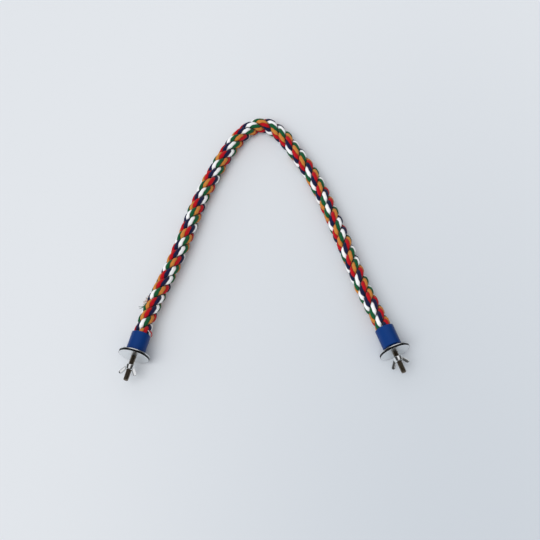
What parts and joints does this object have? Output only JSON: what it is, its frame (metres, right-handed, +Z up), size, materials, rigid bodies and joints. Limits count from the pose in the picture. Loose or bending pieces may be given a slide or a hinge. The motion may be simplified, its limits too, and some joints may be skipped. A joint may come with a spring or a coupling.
{
  "type": "rope bird swing",
  "caption": "Bendable twisted-rope bird perch in an arch, with a plastic cap, stud, large clamp washers and wing nut at each end for fastening to cage bars.",
  "frame": {"origin": "middle of the base of the part's box: the swing lies on a table on its crown and on the rims of its washers", "axes": "+Z up from the table, +Y from the open ends of the arch to its crown, +X from the left end to the right end"},
  "size_m": [0.276, 0.2966, 0.0302],
  "materials": {
    "rope": "twisted yarn in green, orange, red, navy and white",
    "core_wire": "soft annealed wire",
    "cap_plastic": "moulded, satin royal blue",
    "glue": "hardened hot glue",
    "bolt_steel": "rolled thread, darkened with oil",
    "zinc_steel": "bright zinc plate"
  },
  "bodies": {
    "crown": {"rope_crown": "rope", "core_crown": "core_wire"},
    "left_leg": {"rope_left_leg": "rope", "core_left_leg": "core_wire", "left_end_cap": "cap_plastic", "left_bolt": "bolt_steel", "left_glue_plug": "glue"},
    "left_bend": {"rope_left_bend": "rope", "core_left_bend": "core_wire"},
    "left_shoulder": {"rope_left_shoulder": "rope", "core_left_shoulder": "core_wire"},
    "right_leg": {"rope_right_leg": "rope", "core_right_leg": "core_wire", "right_end_cap": "cap_plastic", "right_bolt": "bolt_steel", "right_glue_plug": "glue"},
    "right_bend": {"rope_right_bend": "rope", "core_right_bend": "core_wire"},
    "right_shoulder": {"rope_right_shoulder": "rope", "core_right_shoulder": "core_wire"},
    "left_inner_washer": {"left_inner_washer": "zinc_steel"},
    "left_outer_washer": {"left_outer_washer": "zinc_steel"},
    "left_wing_nut": {"left_wing_nut": "zinc_steel"},
    "right_inner_washer": {"right_inner_washer": "zinc_steel"},
    "right_outer_washer": {"right_outer_washer": "zinc_steel"},
    "right_wing_nut": {"right_wing_nut": "zinc_steel"}
  },
  "joints": [
    {"name": "left_flex", "type": "hinge", "parent": "crown", "child": "left_leg", "pos_m": [-0.01935, 0.13327, 0.00827], "axis": [0, -0.0268, -0.9996], "range_deg": [-10, 45]},
    {"name": "left_bend_flex", "type": "hinge", "parent": "crown", "child": "left_bend", "pos_m": [-0.01935, 0.13327, 0.00827], "axis": [0, -0.0268, -0.9996], "range_deg": [-1.1, 4.6], "deforming": ["rope_left_bend", "core_left_bend"]},
    {"name": "left_shoulder_flex", "type": "hinge", "parent": "crown", "child": "left_shoulder", "pos_m": [-0.01935, 0.13327, 0.00827], "axis": [0, -0.0268, -0.9996], "range_deg": [-7, 31.2], "deforming": ["rope_left_shoulder", "core_left_shoulder"]},
    {"name": "right_flex", "type": "hinge", "parent": "crown", "child": "right_leg", "pos_m": [0.01282, 0.13315, 0.00828], "axis": [0, 0.0268, 0.9996], "range_deg": [-10, 45]},
    {"name": "right_bend_flex", "type": "hinge", "parent": "crown", "child": "right_bend", "pos_m": [0.01282, 0.13315, 0.00828], "axis": [0, 0.0268, 0.9996], "range_deg": [-1.1, 4.6], "deforming": ["rope_right_bend", "core_right_bend"]},
    {"name": "right_shoulder_flex", "type": "hinge", "parent": "crown", "child": "right_shoulder", "pos_m": [0.01282, 0.13315, 0.00828], "axis": [0, 0.0268, 0.9996], "range_deg": [-7, 31.2], "deforming": ["rope_right_shoulder", "core_right_shoulder"]},
    {"name": "left_nut_spin", "type": "hinge", "parent": "left_leg", "child": "left_inner_washer", "pos_m": [-0.12304, -0.12195, 0.01511], "axis": [-0.2494, -0.9681, 0.0259], "range_deg": [-3960, 4320]},
    {"name": "left_nut_travel", "type": "slide", "parent": "left_inner_washer", "child": "left_wing_nut", "axis": [-0.2494, -0.9681, 0.0259], "range_m": [-0.0089, 0.0097]},
    {"name": "left_washer_slide", "type": "slide", "parent": "left_leg", "child": "left_outer_washer", "axis": [-0.2494, -0.9681, 0.0259], "range_m": [0, 0.009]},
    {"name": "right_nut_spin", "type": "hinge", "parent": "right_leg", "child": "right_inner_washer", "pos_m": [0.1233, -0.11803, 0.015], "axis": [0.3454, -0.9381, 0.0251], "range_deg": [-1800, 5040]},
    {"name": "right_nut_travel", "type": "slide", "parent": "right_inner_washer", "child": "right_wing_nut", "axis": [0.3454, -0.9381, 0.0251], "range_m": [-0.0041, 0.0113]},
    {"name": "right_washer_slide", "type": "slide", "parent": "right_leg", "child": "right_outer_washer", "axis": [0.3454, -0.9381, 0.0251], "range_m": [0, 0.0045]}
  ],
  "couplings": [
    {"joint": "left_bend_flex", "follows": "left_flex", "ratio": 0.1},
    {"joint": "left_shoulder_flex", "follows": "left_flex", "ratio": 0.69},
    {"joint": "right_bend_flex", "follows": "right_flex", "ratio": 0.1},
    {"joint": "right_shoulder_flex", "follows": "right_flex", "ratio": 0.69},
    {"joint": "left_nut_travel", "follows": "left_nut_spin", "m_per_rad": 0.00012732},
    {"joint": "right_nut_travel", "follows": "right_nut_spin", "m_per_rad": 0.00012732}
  ]
}
